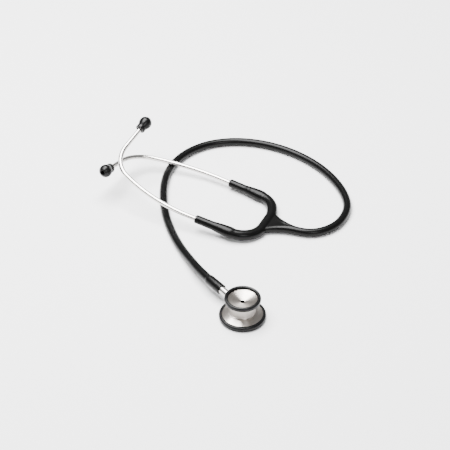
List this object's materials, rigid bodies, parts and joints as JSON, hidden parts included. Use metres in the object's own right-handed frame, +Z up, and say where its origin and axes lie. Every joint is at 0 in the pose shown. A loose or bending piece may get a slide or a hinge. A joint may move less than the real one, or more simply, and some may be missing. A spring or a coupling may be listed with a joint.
{
  "type": "double-headed acoustic stethoscope",
  "caption": "Acoustic stethoscope laid down in a loop: sprung headset with crossed ear tubes, Y-shaped tubing, and a steel chestpiece with a bell and a diaphragm that turns on its stem",
  "frame": {"origin": "centre of the diaphragm's outer face, which rests on the surface", "axes": "+Z up, away from the diaphragm and towards the bell; the headset lies along X with its ear tips towards -X and the left arm on the -Y side"},
  "size_m": [0.2515, 0.2909, 0.0616],
  "materials": {
    "black_pvc": "smooth glossy moulded PVC",
    "black_rubber": "smooth satin rubber",
    "polished_steel": "polished",
    "turned_steel": "finely turned on a lathe",
    "spring_steel": "rolled spring steel",
    "brass": "machined",
    "membrane": "thin glass-reinforced sheet"
  },
  "bodies": {
    "tubing": {"main_tube": "black_pvc", "tube_end_sleeve": "black_pvc", "yoke_hub": "black_pvc", "leaf_spring": "spring_steel", "stem": "polished_steel", "stem_o_ring": "black_rubber"},
    "left_arm": {"left_yoke_leg": "black_pvc", "left_ear_tube": "polished_steel"},
    "left_tip": {"left_ear_tip": "black_rubber", "left_tip_bush": "brass"},
    "right_arm": {"right_yoke_leg": "black_pvc", "right_ear_tube": "polished_steel"},
    "right_tip": {"right_ear_tip": "black_rubber", "right_tip_bush": "brass"},
    "chestpiece": {"chest_body": "turned_steel", "bell_ring": "black_rubber", "diaphragm": "membrane", "diaphragm_surround": "black_rubber", "diaphragm_rim": "black_rubber", "stem_clip": "spring_steel", "detent_ball": "spring_steel", "detent_spring": "spring_steel", "detent_screw": "turned_steel"}
  },
  "joints": [
    {"name": "left_spread", "type": "hinge", "parent": "tubing", "child": "left_arm", "pos_m": [-0.04911, 0.11585, 0.0053], "axis": [0, 0, 1], "range_deg": [0, 35], "stiffness_Nm_per_rad": 1.1, "deforming": ["leaf_spring"]},
    {"name": "right_spread", "type": "hinge", "parent": "tubing", "child": "right_arm", "pos_m": [-0.05273, 0.15648, 0.0053], "axis": [0, 0, -1], "range_deg": [0, 35], "stiffness_Nm_per_rad": 1.1},
    {"name": "left_tip_turn", "type": "hinge", "parent": "left_arm", "child": "left_tip", "pos_m": [-0.21578, 0.1668, 0.05529], "axis": [0.0659, 0.9581, 0.2788], "continuous": true},
    {"name": "right_tip_turn", "type": "hinge", "parent": "right_arm", "child": "right_tip", "pos_m": [-0.2223, 0.09861, 0.03245], "axis": [0.0656, -0.9661, 0.2496], "continuous": true},
    {"name": "bell_turn", "type": "hinge", "parent": "tubing", "child": "chestpiece", "pos_m": [0, 0, 0.0126], "axis": [-0.9272, 0.3746, 0], "continuous": true}
  ]
}
